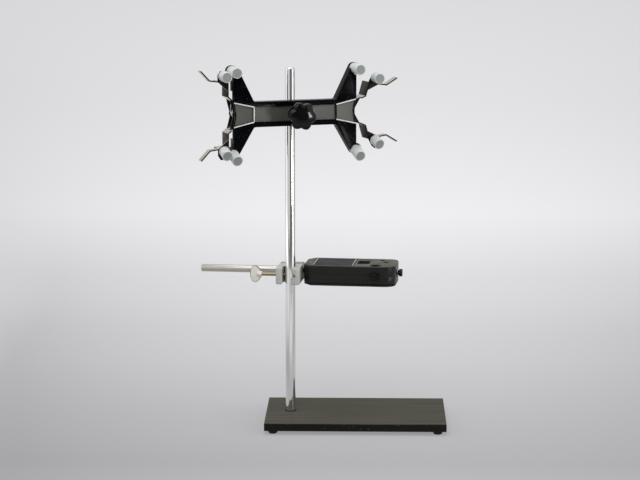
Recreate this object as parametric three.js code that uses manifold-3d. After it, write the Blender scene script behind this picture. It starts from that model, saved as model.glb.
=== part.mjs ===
// Retort stand with a double burette clamp, a boss head, a cross rod and a probe holder arm.
// Millimetres, +Z up, floor at Z = 0. The stand stands over the middle of its own outline.

import * as THREE from 'three';
import { mergeVertices } from 'three/addons/utils/BufferGeometryUtils.js';
import Module from 'manifold-3d';

const wasm = await Module();
wasm.setup();

// base
const plateLength = 228.6;
const plateDepth = 139.7;
const plateThick = 10;
const plateBevel = 0.6;
const footHeight = 5;
const footRadius = 6.25;
const footFlat = 3.9;
const footRecess = { radius: 2.95, depth: 2.6 };
const footInset = 10.7;
const footScrewRadius = 1.5;
const footScrewHead = { radius: 2.7, low: 0.9 };
const footScrewDepth = 7;
const plateTop = footHeight + plateThick;
const rodFromLeft = 31;

// upright rod
const rodRadius = 6.35;
const rodLength = 440.3;
const rodChamfer = 1.2;
const rodFootChamfer = 0.5;
const fixingRadius = 4;
const fixingDepth = 16;
const fixingHeadRadius = 6.5;
const fixingHeadHeight = 4.6;
const fixingKey = { radius: 3.3, depth: 2.9 };
const ringRadius = 7.3;
const ringHeight = 0.9;
const ringChamfer = 0.3;

// shared clearances
const pressGap = 0.1;
const seatGap = 0.3;
const linerGap = 0.08;
const headGap = 0.4;
const headRoom = 1;
const endGap = 0.5;

// how far a cutting shape runs past the face it opens
const past = 1;

// slots across the small screw heads
const slotHalf = 0.3;
const slotDepth = 0.5;

// heights above the top of the plate
const rise = {
  clamp: 384.8,
  bossLow: 165.5,
  bossHigh: 187.2,
  bossScrew: 177.1,
  crossRod: 178.3,
  armLow: 163.9,
  armHigh: 189.5,
  armScrew: 176.8,
};

// burette clamp, in its own frame: x along the bar, y to the back, z up
const clampYaw = 20.5;
const frontY = -22;
const backY = -16.5;
const wallY = -8;
const castBevel = 0.6;
const barHalf = 15.8;
const webHalf = 9.35;
const pocketDeep = 2.2;
const rimWide = 0.7;
const innerX = 53.7;
const outerX = 80.8;
const armStart = { x: innerX + 0.4, z: barHalf + 0.9 };
const waist = { x: 78.4, cornerX: 78.9, cornerZ: 6 };
const headPanel = { cornerX: 78.9, cornerZ: 13.9, waistX: 76.7 };
const wallThick = 3;
const barHollows = [[-innerX, -15], [17, innerX]];
const liner = { outer: 7.2, height: 24 };
const linerRoom = 0.35;
const hook = { left: -12, right: 14, back: 13.5, half: 12 };
const nose = { radius: 9, reach: 24.5 };
const screwRadius = 4;
const screwNose = { radius: 2.6, length: 2 };
const screwReach = 45;
const knobAxisZ = -1.2;
const knobFront = -54;
const knobBack = -41.5;
const knobHub = { back: -30, narrow: 8.2, wide: 9.2 };
const knobTip = 18;
const knobValley = 14.8;
const knobBevel = 2;
const knobTurn = -0.12;
const pivotX = 75;
const pivotRadius = 2;
const pronged = { x: 80.4, frontY: -38, rootY: -14, upZ: 53.2, lowZ: 55.2 };
const sleeveRadius = 6.7;
const sleeveEnd = 3;
const prongRadius = 2.5;
const prongRoot = 3.5;
const upTilt = 1.5;
const lowTilt = 18;
const tipRadius = 7.1;
const pinBlind = -18.5;
const jawX = 93.4;
const jawZ = 48.35;
const jawPinRadius = 2.2;
const jawOpenRest = 16;
const jawSleeve = { upper: 15.8, lower: 14.8 };
const stripThick = 1.6;
const stripFront = -21.5;
const stripBack = 2.5;
const earFront = -15.8;
const earStep = 1.9;
const earRadius = 4.6;
const tabWide = 11;
const pinGroove = { radius: 1.6, from: 3.1, to: 4.1, end: 5.2 };
const springWire = { radius: 0.6, mean: 3.6, start: -11.1, pitch: 2, curls: 4, leg: 11.9, steps: 8 };

// boss head, in its own frame with the upright on the z axis
const bossYaw = -6;
const bossLow = plateTop + rise.bossLow;
const bossHigh = plateTop + rise.bossHigh;
const bossBevel = 0.9;
const bossScrewZ = plateTop + rise.bossScrew;
const crossY = 28;
const crossZ = plateTop + rise.crossRod;
const crossRadius = 4.76;
const crossLeft = -119.7;
const crossRight = 12.7;
const crossChamfer = { left: 0.9, right: 0.6 };
const crossBore = 11;
const bossLiner = { outer: 6.95, height: 17 };
const bossScrewRadius = 2.45;
const sideScrewLength = 33;
const backScrew = { x: -1, length: 19, roll: 0.6 };
const wingHalfThick = 2.1;
const studRadius = 3.15;

// probe holder arm, in the boss head's frame
const armLow = plateTop + rise.armLow;
const armHigh = plateTop + rise.armHigh;
const armLeft = 16.2;
const armRight = 133.4;
const armFront = -2.5;
const armBack = 58.5;
const armCorner = 12.6;
const coverThick = 2.2;
const armWall = 2.6;
const armScrewZ = plateTop + rise.armScrew;
const grooveHalf = 0.35;
const grooveDeep = 0.45;
const probeHole = { x: 107.6, y: 7.6, r: 6.9 };
const dropSlot = { x0: 83, x1: 98.4, y0: 18.5, y1: 40.5, corner: 3 };
const smallHole = { x: 118.4, y: 32, r: 3.4 };
const rearHole = { x: 113, y: 47, r: 3.1 };
const armPlate = { x0: 27.5, x1: 79.5, y0: 3, y1: 53.5, sunk: 0.5, proud: 0.1 };
const coverSpots = [[34, 28], [72, 28]];
const coverScrewRadius = 1.4;
const coverHead = { radius: 2.7, height: 1 };
const thumbRadius = 2;
const thumbTeeth = 18;
const frontKnob = { radius: 5.2, thick: 6.6, clear: 2 };
const endKnob = { radius: 4.9, thick: 4.6, clear: 1.9 };

const deg = Math.PI / 180;

const looks = {
  plate: { color: 0x4c4a43, metalness: 0.5, roughness: 0.45 },
  rubber: { color: 0x161616, metalness: 0, roughness: 0.85 },
  chrome: { color: 0xd6d6d2, metalness: 1, roughness: 0.14 },
  zinc: { color: 0xb9b9b4, metalness: 1, roughness: 0.35 },
  blackPaint: { color: 0x0b0b0d, metalness: 0.1, roughness: 0.16 },
  blackPlastic: { color: 0x1a1a18, metalness: 0, roughness: 0.45 },
  nickel: { color: 0xa39c8c, metalness: 1, roughness: 0.22 },
  vinyl: { color: 0xaab4ac, metalness: 0, roughness: 0.5 },
  cast: { color: 0xaab2a6, metalness: 0.6, roughness: 0.5 },
  brass: { color: 0xb9ad8c, metalness: 0.9, roughness: 0.35 },
  label: { color: 0x24241f, metalness: 0, roughness: 0.4 },
};

// turns a three.js shape into a solid for cutting and joining
function solid(geometry) {
  const g = geometry.clone();
  g.deleteAttribute('normal');
  g.deleteAttribute('uv');
  const merged = mergeVertices(g, 1e-4);
  const vertProperties = new Float32Array(merged.attributes.position.array);
  const triVerts = new Uint32Array(merged.index.array);
  return new wasm.Manifold(new wasm.Mesh({ numProp: 3, vertProperties, triVerts }));
}

function join(...shapes) {
  return shapes.reduce((a, b) => a.add(b));
}

function cut(shape, ...tools) {
  return tools.reduce((a, b) => a.subtract(b), shape);
}

// turns a solid back into a three.js shape
function surface(shape) {
  const m = shape.getMesh();
  const g = new THREE.BufferGeometry();
  g.setAttribute('position', new THREE.BufferAttribute(new Float32Array(m.vertProperties), 3));
  g.setIndex(new THREE.BufferAttribute(new Uint32Array(m.triVerts), 1));
  return g;
}

function part(name, geometry, look) {
  const g = geometry.isBufferGeometry ? geometry : surface(geometry);
  g.computeVertexNormals();
  const mesh = new THREE.Mesh(g, new THREE.MeshStandardMaterial({ ...looks[look], flatShading: true }));
  mesh.name = name;
  return mesh;
}

function shapeOf(points) {
  return new THREE.Shape(points.map(([a, b]) => new THREE.Vector2(a, b)));
}

// outline in x and y, pulled up between two heights
function prismZ(points, z0, z1, bevel = 0, steps = 1) {
  const g = new THREE.ExtrudeGeometry(shapeOf(points), {
    depth: z1 - z0 - 2 * bevel,
    bevelEnabled: bevel > 0,
    bevelSize: bevel,
    bevelThickness: bevel,
    bevelOffset: -bevel,
    bevelSegments: steps,
  });
  g.translate(0, 0, z0 + bevel);
  return g;
}

// outline in x and z, pulled back between two depths
function prismY(points, y0, y1, bevel = 0, steps = 1) {
  const g = prismZ(points, 0, y1 - y0, bevel, steps);
  g.rotateX(Math.PI / 2);
  g.translate(0, y1, 0);
  return g;
}

function block(x0, x1, y0, y1, z0, z1) {
  const g = new THREE.BoxGeometry(x1 - x0, y1 - y0, z1 - z0);
  g.translate((x0 + x1) / 2, (y0 + y1) / 2, (z0 + z1) / 2);
  return g;
}

// round body along z from a list of [radius, height]
function turned(profile, sides = 32) {
  return new THREE.LatheGeometry(profile.map(([r, z]) => new THREE.Vector2(r, z)), sides).rotateX(Math.PI / 2);
}

function peg(radius, z0, z1, sides = 32) {
  return turned([[0, z0], [radius, z0], [radius, z1], [0, z1]], sides);
}

// points a body that stands along z along another direction, starting at a point
function aim(geometry, from, direction) {
  const turn = new THREE.Quaternion().setFromUnitVectors(
    new THREE.Vector3(0, 0, 1),
    new THREE.Vector3(...direction).normalize(),
  );
  const g = geometry.clone().applyQuaternion(turn);
  g.translate(...from);
  return g;
}

function circle(cx, cy, r, n = 24, start = 0, sweep = 2 * Math.PI) {
  const points = [];
  const last = Math.abs(sweep) >= 2 * Math.PI ? n : n + 1;
  for (let i = 0; i < last; i += 1) {
    const a = start + (sweep * i) / n;
    points.push([cx + r * Math.cos(a), cy + r * Math.sin(a)]);
  }
  return points;
}

// outline of a sheet strip that follows a bent path, t thick
function stripOutline(path, t) {
  const left = [];
  const right = [];
  path.forEach(([x, z], i) => {
    const before = path[Math.max(i - 1, 0)];
    const after = path[Math.min(i + 1, path.length - 1)];
    const inDir = new THREE.Vector2(x - before[0], z - before[1]).normalize();
    const outDir = new THREE.Vector2(after[0] - x, after[1] - z).normalize();
    const a = i === 0 ? outDir : inDir;
    const b = i === path.length - 1 ? inDir : outDir;
    const sum = new THREE.Vector2(-a.y - b.y, a.x + b.x).normalize();
    const k = t / 2 / Math.max(sum.dot(new THREE.Vector2(-a.y, a.x)), 0.3);
    left.push([x + sum.x * k, z + sum.y * k]);
    right.push([x - sum.x * k, z - sum.y * k]);
  });
  return [...right, ...left.reverse()];
}

function flip(points, sx, sz) {
  const moved = points.map(([x, z]) => [x * sx, z * sz]);
  return sx * sz < 0 ? moved.reverse() : moved;
}

// base plate, feet and the upright
function basePlate() {
  const x0 = -rodFromLeft;
  const x1 = plateLength - rodFromLeft;
  const y = plateDepth / 2;
  const low = footHeight - past;
  let body = solid(prismZ([[x0, -y], [x1, -y], [x1, y], [x0, y]], footHeight, plateTop, plateBevel));
  body = cut(body, solid(peg(fixingRadius + pressGap, low, plateTop + past)));
  body = cut(body, solid(peg(fixingHeadRadius + headRoom, low, footHeight + fixingHeadHeight + headGap)));
  for (const [fx, fy] of footSpots()) {
    const hole = peg(footScrewRadius + pressGap, low, footHeight + footScrewDepth + endGap, 20);
    body = cut(body, solid(hole.translate(fx, fy, 0)));
  }
  return part('base_plate', body, 'plate');
}

function footSpots() {
  const x0 = -rodFromLeft + footInset;
  const x1 = plateLength - rodFromLeft - footInset;
  const y = plateDepth / 2 - footInset;
  return [[x0, -y], [x1, -y], [x0, y], [x1, y]];
}

function foot(name) {
  const bore = footScrewRadius + pressGap;
  const profile = [
    [footRecess.radius, 0], [footFlat, 0], [footRadius - 1.15, 0.7], [footRadius - 0.35, 2], [footRadius, 3.6],
    [footRadius, footHeight], [bore, footHeight], [bore, footRecess.depth],
    [footRecess.radius, footRecess.depth], [footRecess.radius, 0],
  ];
  return part(name, turned(profile, 28), 'rubber');
}

// straight slot across a screw head with its face at height z
function headSlot(radius, z) {
  return solid(block(-radius - past, radius + past, -slotHalf, slotHalf, z - past, z + slotDepth));
}

function footScrew(name) {
  const { radius, low } = footScrewHead;
  const end = footHeight + footScrewDepth;
  const profile = [
    [0, low], [radius - 0.6, low], [radius, low + 0.6], [radius, footRecess.depth],
    [footScrewRadius, footRecess.depth], [footScrewRadius, end - 0.5], [footScrewRadius - 0.5, end], [0, end],
  ];
  return part(name, cut(solid(turned(profile, 20)), headSlot(radius, low)), 'zinc');
}

function uprightRod() {
  const top = plateTop + rodLength;
  const bore = fixingRadius + pressGap;
  const boreEnd = plateTop + fixingDepth + past;
  const profile = [
    [bore, plateTop], [rodRadius - rodFootChamfer, plateTop], [rodRadius, plateTop + rodFootChamfer],
    [rodRadius, top - rodChamfer], [rodRadius - rodChamfer, top], [0, top], [0, boreEnd + 2], [bore, boreEnd],
    [bore, plateTop],
  ];
  return part('upright_rod', turned(profile, 48), 'chrome');
}

function rodFootRing() {
  const bore = rodRadius + pressGap;
  const top = plateTop + ringHeight;
  const profile = [
    [bore, plateTop], [ringRadius, plateTop], [ringRadius, top - ringChamfer], [ringRadius - ringChamfer, top],
    [bore, top], [bore, plateTop],
  ];
  return part('rod_foot_ring', turned(profile, 40), 'rubber');
}

function rodFixingScrew() {
  const low = footHeight + headGap;
  const seat = low + fixingHeadHeight;
  const end = plateTop + fixingDepth;
  const profile = [
    [0, low], [fixingHeadRadius - 0.5, low], [fixingHeadRadius, low + 0.5], [fixingHeadRadius, seat],
    [fixingRadius, seat], [fixingRadius, end - 0.8], [fixingRadius - 0.8, end], [0, end],
  ];
  const { radius, depth } = fixingKey;
  const key = new THREE.CylinderGeometry(radius, radius, depth * 2, 6).rotateX(Math.PI / 2);
  return part('rod_fixing_screw', cut(solid(turned(profile, 28)), solid(key.translate(0, 0, low))), 'zinc');
}

// burette clamp
function ring(name, inner, outer, height, z, look) {
  const low = z - height / 2;
  const high = z + height / 2;
  const profile = [[inner, low], [outer, low], [outer, high], [inner, high], [inner, low]];
  return part(name, turned(profile, 40), look);
}

function prongAxis(up) {
  const tilt = (up ? upTilt : lowTilt) * deg;
  return [0, -Math.cos(tilt), -Math.sin(tilt)];
}

// the point where a fixed prong leaves the casting, and how long it is from there
function fixedProng(side, up) {
  const dir = prongAxis(up);
  const length = (pronged.rootY - pronged.frontY) / -dir[1];
  const frontZ = up ? pronged.upZ : -pronged.lowZ;
  const root = [side * pronged.x, pronged.rootY, frontZ - dir[2] * length];
  return { root, dir, length };
}

// middle of one arm's round tip, and the heading of the straight inner edge that runs up to it
function armTip(up) {
  const tip = new THREE.Vector2(pronged.x, Math.abs(fixedProng(1, up).root[2]));
  const reach = tip.clone().sub(new THREE.Vector2(armStart.x, armStart.z));
  const heading = reach.angle() + Math.asin(tipRadius / reach.length());
  return { tip, heading };
}

// corner of the bar, straight inner edge that meets a round tip, straight outer edge
function quarterOutline(up) {
  const { tip, heading } = armTip(up);
  const last = -Math.acos((outerX - tip.x) / tipRadius);
  const first = heading + Math.PI / 2;
  return [
    [0, barHalf], [innerX - 1.5, barHalf], [armStart.x, armStart.z],
    ...circle(tip.x, tip.y, tipRadius, 16, first, last - first),
    [outerX, barHalf], [waist.cornerX, waist.cornerZ], [waist.x, 0],
  ];
}

function castingOutline() {
  const upper = quarterOutline(true);
  const lower = quarterOutline(false);
  const upperRight = upper.slice(0, -1);
  const lowerRight = lower.slice(1).map(([x, z]) => [x, -z]).reverse();
  const lowerLeft = lower.slice(0, -1).map(([x, z]) => [-x, -z]);
  const upperLeft = upper.slice(1).map(([x, z]) => [-x, z]).reverse();
  return [...upperRight, ...lowerRight, ...lowerLeft, ...upperLeft];
}

// hollow behind one fork arm, open at the side where the spring jaw passes
function armPocket(up) {
  const { tip, heading } = armTip(up);
  const top = tip.y - tipRadius - wallThick;
  const shift = [armStart.x + wallThick * Math.sin(heading), armStart.z - wallThick * Math.cos(heading)];
  const slope = Math.cos(heading) / Math.sin(heading);
  const low = barHalf - wallThick;
  const openX = outerX + 9.2;
  return [
    [innerX - 2, -0.1], [openX, -0.1], [openX, 28], [outerX - wallThick, 30], [outerX - wallThick, top],
    [shift[0] + (top - shift[1]) * slope, top], [shift[0] + (low + 1.5 - shift[1]) * slope, low + 1.5],
    [innerX - 2, low],
  ];
}

// round body that stands along the screw of the clamp, from the rod towards the front
function alongClampScrew(geometry) {
  return geometry.rotateX(Math.PI / 2).translate(0, 0, knobAxisZ);
}

// hook that reaches round the upright and opens to the left
function castingHook(body) {
  const hold = block(hook.left, hook.right, wallY - past, hook.back, -hook.half, hook.half);
  const reach = liner.outer + linerRoom;
  const far = 20;
  const slot = join(solid(peg(reach, -far, far)), solid(block(-far, 0, -reach, reach, -far, far)));
  return cut(join(body, solid(hold)), slot);
}

// sunk panels in the front of the bar and of the two fork heads
function castingPanels(body) {
  const { cornerX, cornerZ, waistX } = headPanel;
  const barX = innerX - rimWide;
  const headX = innerX + rimWide;
  const headZ = webHalf - 0.9;
  const bar = [[-barX, -webHalf], [barX, -webHalf], [barX, webHalf], [-barX, webHalf]];
  const head = [[headX, -headZ], [cornerX, -cornerZ], [waistX, 0], [cornerX, cornerZ], [headX, headZ]];
  const panels = [bar, head, flip(head, -1, 1)];
  return cut(body, ...panels.map((panel) => solid(prismY(panel, frontY - past, frontY + pocketDeep))));
}

function clampCasting() {
  const bore = 14;
  const hollow = barHalf - wallThick;
  let body = solid(prismY(castingOutline(), frontY, wallY, castBevel));
  for (const [x0, x1] of barHollows) body = cut(body, solid(block(x0, x1, backY, 0, -hollow, hollow)));
  for (const sx of [1, -1]) {
    for (const up of [true, false]) {
      body = cut(body, solid(prismY(flip(armPocket(up), sx, up ? 1 : -1), backY, 0)));
      const { root, dir } = fixedProng(sx, up);
      body = cut(body, solid(aim(peg(tipRadius + 0.7, pressGap, bore, 32), root, dir)));
    }
  }
  body = castingPanels(castingHook(body));
  for (const sx of [1, -1]) {
    const pinBore = peg(pivotRadius + pressGap, 0, -pinBlind + pressGap, 24);
    body = cut(body, solid(pinBore.rotateX(Math.PI / 2).translate(sx * pivotX, 0, 0)));
  }
  // raised boss for the clamping screw
  body = join(body, solid(alongClampScrew(peg(nose.radius, 18, nose.reach, 36))));
  body = cut(body, solid(alongClampScrew(peg(screwRadius + pressGap, 0, 40, 28))));
  for (const sx of [1, -1]) {
    for (const up of [true, false]) {
      const { root, dir } = fixedProng(sx, up);
      body = cut(body, solid(aim(peg(prongRadius + pressGap, -prongRoot - endGap, bore, 20), root, dir)));
    }
  }
  return part('clamp_casting', body, 'blackPaint');
}

function clampScrew() {
  const tip = liner.outer + seatGap;
  const { radius, length } = screwNose;
  const profile = [
    [0, tip], [radius, tip], [radius, tip + length], [screwRadius, tip + length + screwRadius - radius],
    [screwRadius, screwReach], [0, screwReach],
  ];
  return part('clamp_screw', alongClampScrew(turned(profile, 24)), 'zinc');
}

function starOutline() {
  const points = [];
  const lobes = 6;
  const perLobe = 10;
  for (let i = 0; i < lobes * perLobe; i += 1) {
    const a = (2 * Math.PI * i) / (lobes * perLobe);
    const wave = (0.5 + 0.5 * Math.cos(lobes * a)) ** 0.7;
    const r = knobValley + (knobTip - knobValley) * wave;
    points.push([r * Math.cos(a + knobTurn), r * Math.sin(a + knobTurn)]);
  }
  return points;
}

function clampKnob() {
  const { back, narrow, wide } = knobHub;
  const star = solid(prismY(starOutline(), knobFront, knobBack, knobBevel, 2));
  const inside = -knobBack + 4;
  const hub = turned([[0, -back], [narrow, -back], [wide, -knobBack], [wide, inside], [0, inside]], 32);
  const bore = peg(screwRadius + pressGap, 20, screwReach + headGap, 24);
  const body = cut(join(star, solid(hub.rotateX(Math.PI / 2))), solid(bore.rotateX(Math.PI / 2)));
  const mesh = part('clamp_knob', body, 'blackPlastic');
  mesh.position.z = knobAxisZ;
  return mesh;
}

function sleeve(name, root, dir, length, bore) {
  const depth = length - sleeveEnd;
  const r = sleeveRadius;
  const profile = [
    [bore, 0], [r - 0.4, 0], [r, 0.5], [r, length - 0.9], [r - 0.9, length], [0, length],
    [0, depth], [bore, depth], [bore, 0],
  ];
  return part(name, aim(turned(profile, 28), root, dir), 'vinyl');
}

function fixedJaw(side, up) {
  const tag = `${up ? 'upper' : 'lower'}_${side < 0 ? 'left' : 'right'}`;
  const { root, dir, length } = fixedProng(side, up);
  const start = root.map((v, i) => v + dir[i] * seatGap);
  const tip = length - sleeveEnd - 1;
  const profile = [[0, -prongRoot], [prongRadius, -prongRoot], [prongRadius, tip - 1], [0, tip]];
  const pin = aim(turned(profile, 20), root, dir);
  return [
    part(`fixed_prong_${tag}`, pin, 'nickel'),
    sleeve(`fixed_sleeve_${tag}`, start, dir, length - seatGap, prongRadius + pressGap),
  ];
}

// one spring jaw lever in its closed place, with the pivot as origin
function jawLever(side, up) {
  const tag = `${up ? 'upper' : 'lower'}_${side < 0 ? 'left' : 'right'}`;
  const sz = up ? 1 : -1;
  const path = [[1.6, 14], [12.3, 22.7], [12.3, 40.2]];
  const wide = [[7.9, 19.1], [12.3, 22.7], [12.3, 40.2], [24, 41.6]];
  const tab = [[12.3, 40.2], [35.8, 43.2], [47.2, 55.4]];
  // the lower lever's ears lie between those of the upper one
  const step = up ? 0 : earStep;
  const ears = [earFront + step, stripBack - step - stripThick];
  const place = (points) => flip(points, side, sz);
  let body = solid(prismY(place(stripOutline(path, stripThick)), earFront, stripBack));
  body = join(body, solid(prismY(place(stripOutline(wide, stripThick)), stripFront, stripBack)));
  body = join(body, solid(prismY(place(stripOutline(tab, stripThick)), stripFront, stripFront + tabWide)));
  const gusset = [
    [11.6, 30], [12.4, 30], [25.5, 41.6], [25.5, 50], [22, 55], [16, 54.5], [13.3, 50.5], [11.6, 42],
  ];
  body = join(body, solid(prismY(place(gusset), stripFront, stripFront + stripThick)));
  const web = [[-3.4, 2.5], [4, 2.5], [8.2, 19.4], [1, 14.2]];
  for (const y of ears) {
    const eye = solid(prismY(circle(0, 0, earRadius, 20), y, y + stripThick));
    body = join(body, solid(prismY(place(web), y, y + stripThick)), eye);
  }
  body = cut(body, solid(peg(pivotRadius + pressGap, -30, 30, 24).rotateX(Math.PI / 2)));
  const dir = prongAxis(up);
  const front = [side * (jawX - pivotX), pronged.frontY, sz * jawZ];
  const reach = (pronged.frontY - (stripFront + stripThick)) / dir[1];
  const back = front.map((v, i) => v - dir[i] * reach);
  body = cut(body, solid(aim(peg(jawPinRadius + pressGap, -4, 9, 20), back, dir)));
  const length = up ? jawSleeve.upper : jawSleeve.lower;
  const start = front.map((v, i) => v - dir[i] * length);
  const pinEnd = reach - length * 0.3;
  const group = new THREE.Group();
  group.add(
    part(`jaw_lever_${tag}`, body, 'nickel'),
    part(`jaw_prong_${tag}`, aim(peg(jawPinRadius, 0, pinEnd, 20), back, dir), 'nickel'),
    sleeve(`jaw_sleeve_${tag}`, start, dir, length, jawPinRadius + pressGap),
  );
  group.position.x = side * pivotX;
  group.rotation.y = side > 0 ? sz * jawOpenRest * deg : 0;
  return group;
}

function pivotPin(side) {
  const { radius, from, to, end } = pinGroove;
  const profile = [
    [0, -end], [radius, -end], [pivotRadius, -end + 0.4], [pivotRadius, -to], [radius, -to], [radius, -from],
    [pivotRadius, -from], [pivotRadius, -pinBlind - 0.3], [pivotRadius - 0.3, -pinBlind], [0, -pinBlind],
  ];
  const g = turned(profile, 24).rotateX(Math.PI / 2).translate(side * pivotX, 0, 0);
  return part(`pivot_pin_${side < 0 ? 'left' : 'right'}`, g, 'zinc');
}

// open clip that sits in the groove of the pivot pin
function pivotClip(side) {
  const gap = 0.5;
  const sweep = 2 * Math.PI - 2 * gap;
  const inner = pinGroove.radius + pressGap;
  const outline = [...circle(0, 0, 4, 20, gap, sweep), ...circle(0, 0, inner, 16, gap + sweep, -sweep)];
  const g = prismY(outline, pinGroove.from + 0.1, pinGroove.to - 0.1).translate(side * pivotX, 0, 0);
  return part(`pivot_clip_${side < 0 ? 'left' : 'right'}`, g, 'zinc');
}

// line of the torsion spring: leg, curls round the pin, leg
class SpringLine extends THREE.Curve {
  constructor(points) {
    super();
    this.points = points;
  }

  getPoint(t) {
    const at = t * (this.points.length - 1);
    const i = Math.min(Math.floor(at), this.points.length - 2);
    return this.points[i].clone().lerp(this.points[i + 1], at - i);
  }
}

function jawSpring(side) {
  const { radius, mean, start, pitch, curls, leg, steps } = springWire;
  const open = side > 0 ? jawOpenRest * deg : 0;
  const sweep = curls * 2 * Math.PI - 2 * open;
  const count = curls * steps;
  const legX = mean * Math.cos(open) + leg * Math.sin(open);
  const legZ = leg * Math.cos(open) - mean * Math.sin(open);
  const points = [new THREE.Vector3(side * legX, start, legZ)];
  for (let i = 0; i <= count; i += 1) {
    const a = -open - (sweep * i) / count;
    const y = start + (pitch * curls * i) / count;
    points.push(new THREE.Vector3(side * mean * Math.cos(a), y, mean * Math.sin(a)));
  }
  points.push(new THREE.Vector3(side * legX, start + pitch * curls, -legZ));
  const g = new THREE.ExtrudeGeometry(shapeOf(circle(0, 0, radius, 5)), {
    steps: points.length - 1,
    bevelEnabled: false,
    extrudePath: new SpringLine(points),
  });
  g.translate(side * pivotX, 0, 0);
  return part(`jaw_spring_${side < 0 ? 'left' : 'right'}`, solid(g), 'zinc');
}

function buretteClamp() {
  const group = new THREE.Group();
  group.add(
    ring('clamp_rod_liner', rodRadius + linerGap, liner.outer, liner.height, 0, 'blackPlastic'),
    clampCasting(),
    clampScrew(),
    clampKnob(),
  );
  for (const side of [-1, 1]) {
    for (const up of [true, false]) group.add(...fixedJaw(side, up), jawLever(side, up));
    group.add(pivotPin(side), pivotClip(side), jawSpring(side));
  }
  group.position.z = plateTop + rise.clamp;
  group.rotation.z = clampYaw * deg;
  return group;
}

// boss head
function bossHead() {
  const flank = bossLiner.outer + seatGap;
  const apex = flank * Math.SQRT2;
  const outline = [
    [-17.6, -9], [-9.6, -9], [-9.6, flank + 0.9], [apex - flank - 0.9, flank + 0.9], [apex, 0], [2.9, 2.9 - apex],
    [2.9, -12], [10.4, -12], [13, -9.4], [13, 39.5], [-14.6, 39.5], [-17.6, 36.5],
  ];
  let body = solid(prismZ(outline, bossLow, bossHigh, bossBevel));
  const half = crossRadius + seatGap;
  const far = 30;
  const channel = block(-far, far, crossY - half, crossY + half, crossZ, bossHigh + past);
  const cradle = peg(half, -far, far, 36).rotateY(Math.PI / 2).translate(0, crossY, crossZ);
  body = cut(body, solid(channel), solid(cradle));
  const notch = [[0, -6.2], [7.4, 0], [0, 6.2]];
  body = cut(body, solid(prismY(notch, -14, 2).translate(1.2, 0, bossScrewZ)));
  const bore = bossScrewRadius + pressGap;
  const sideHole = peg(bore, -20, -5, 20).rotateY(Math.PI / 2).translate(0, 0, bossScrewZ);
  const backHole = peg(bore, -45, -30, 20).rotateX(Math.PI / 2).translate(backScrew.x, 0, crossZ);
  body = cut(body, solid(sideHole), solid(backHole));
  return part('boss_head', body, 'cast');
}

// wing screws stand along z with the tip at zero
function bossScrewBody(length) {
  const r = bossScrewRadius;
  return turned([[0, 0], [r - 0.75, 0], [r - 0.75, 1.2], [r, 2], [r, length], [0, length]], 20);
}

// flat wing like a drop: narrow at the screw, round at the outer end
function wingBody(length) {
  const start = length - 4;
  const half = [[2.4, 0], [6.6, 3.6], [9.8, 6.6], [10.9, 9.2], [10.1, 12], [7.8, 14.2], [4.2, 15.3], [0, 15.6]];
  const other = half.slice(0, -1).reverse().map(([x, z]) => [-x, z]);
  const wing = prismY([...half, ...other], -wingHalfThick, wingHalfThick, 1.1).translate(0, 0, start);
  const hub = turned([[0, start], [3.6, start], [4.2, start + 4], [3, start + 9], [0, start + 9.6]], 20);
  const bore = peg(bossScrewRadius + pressGap, 0, length + 0.2, 20);
  return cut(join(solid(wing), solid(hub)), solid(bore));
}

function wingScrew(tag, tip, direction, roll, length) {
  const holder = new THREE.Group();
  holder.add(part(`${tag}_screw`, bossScrewBody(length), 'brass'), part(`${tag}_wing`, wingBody(length), 'brass'));
  holder.quaternion.setFromUnitVectors(new THREE.Vector3(0, 0, 1), new THREE.Vector3(...direction));
  holder.children[1].rotation.z = roll;
  holder.position.set(...tip);
  return holder;
}

function crossRod() {
  const bore = studRadius + pressGap;
  const { left, right } = crossChamfer;
  const profile = [
    [0, crossLeft], [crossRadius - left, crossLeft], [crossRadius, crossLeft + left],
    [crossRadius, crossRight - right], [crossRadius - right, crossRight], [bore, crossRight],
    [bore, crossRight - crossBore],
    [0, crossRight - crossBore - 1.5],
  ];
  const g = turned(profile, 36).rotateY(Math.PI / 2).translate(0, crossY, crossZ);
  return part('cross_rod', g, 'chrome');
}

// probe holder arm
function armOutline(inset) {
  const x0 = armLeft + inset;
  const x1 = armRight - inset;
  const y0 = armFront + inset;
  const y1 = armBack - inset;
  const c = inset * 0.5;
  const frontRound = 14 - c;
  const backRound = 11 - c;
  return [
    [x0, y0 + armCorner - c],
    [x0 + 9.6 - c, y0],
    ...circle(x1 - frontRound, y0 + frontRound, frontRound, 6, -Math.PI / 2, Math.PI / 2),
    ...circle(x1 - backRound, y1 - backRound, backRound, 6, 0, Math.PI / 2),
    [x0 + 9 - c, y1],
    [x0, y1 - armCorner + c],
  ];
}

function armHoles(z0, z1, grow) {
  const round = [[probeHole, 36], [smallHole, 24], [rearHole, 24]];
  const pegs = round.map(([hole, sides]) => peg(hole.r + grow, z0, z1, sides).translate(hole.x, hole.y, 0));
  const { x0, x1, y0, y1, corner } = dropSlot;
  const corners = [
    [x1 - corner, y0 + corner], [x1 - corner, y1 - corner],
    [x0 + corner, y1 - corner], [x0 + corner, y0 + corner],
  ];
  const quarter = Math.PI / 2;
  const outline = corners.flatMap(([x, y], i) => circle(x, y, corner + grow, 4, (i - 1) * quarter, quarter));
  return [...pegs, prismZ(outline, z0, z1)].map(solid);
}

// upright peg at each of the two cover screws
function coverPegs(radius, z0, z1, sides) {
  return coverSpots.map(([x, y]) => solid(peg(radius, z0, z1, sides).translate(x, y, 0)));
}

// round body along the front or the end thumb screw
function alongFrontScrew(radius, from, to) {
  return solid(peg(radius, from, to, 20).rotateX(Math.PI / 2).translate(probeHole.x, probeHole.y, armScrewZ));
}

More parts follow.
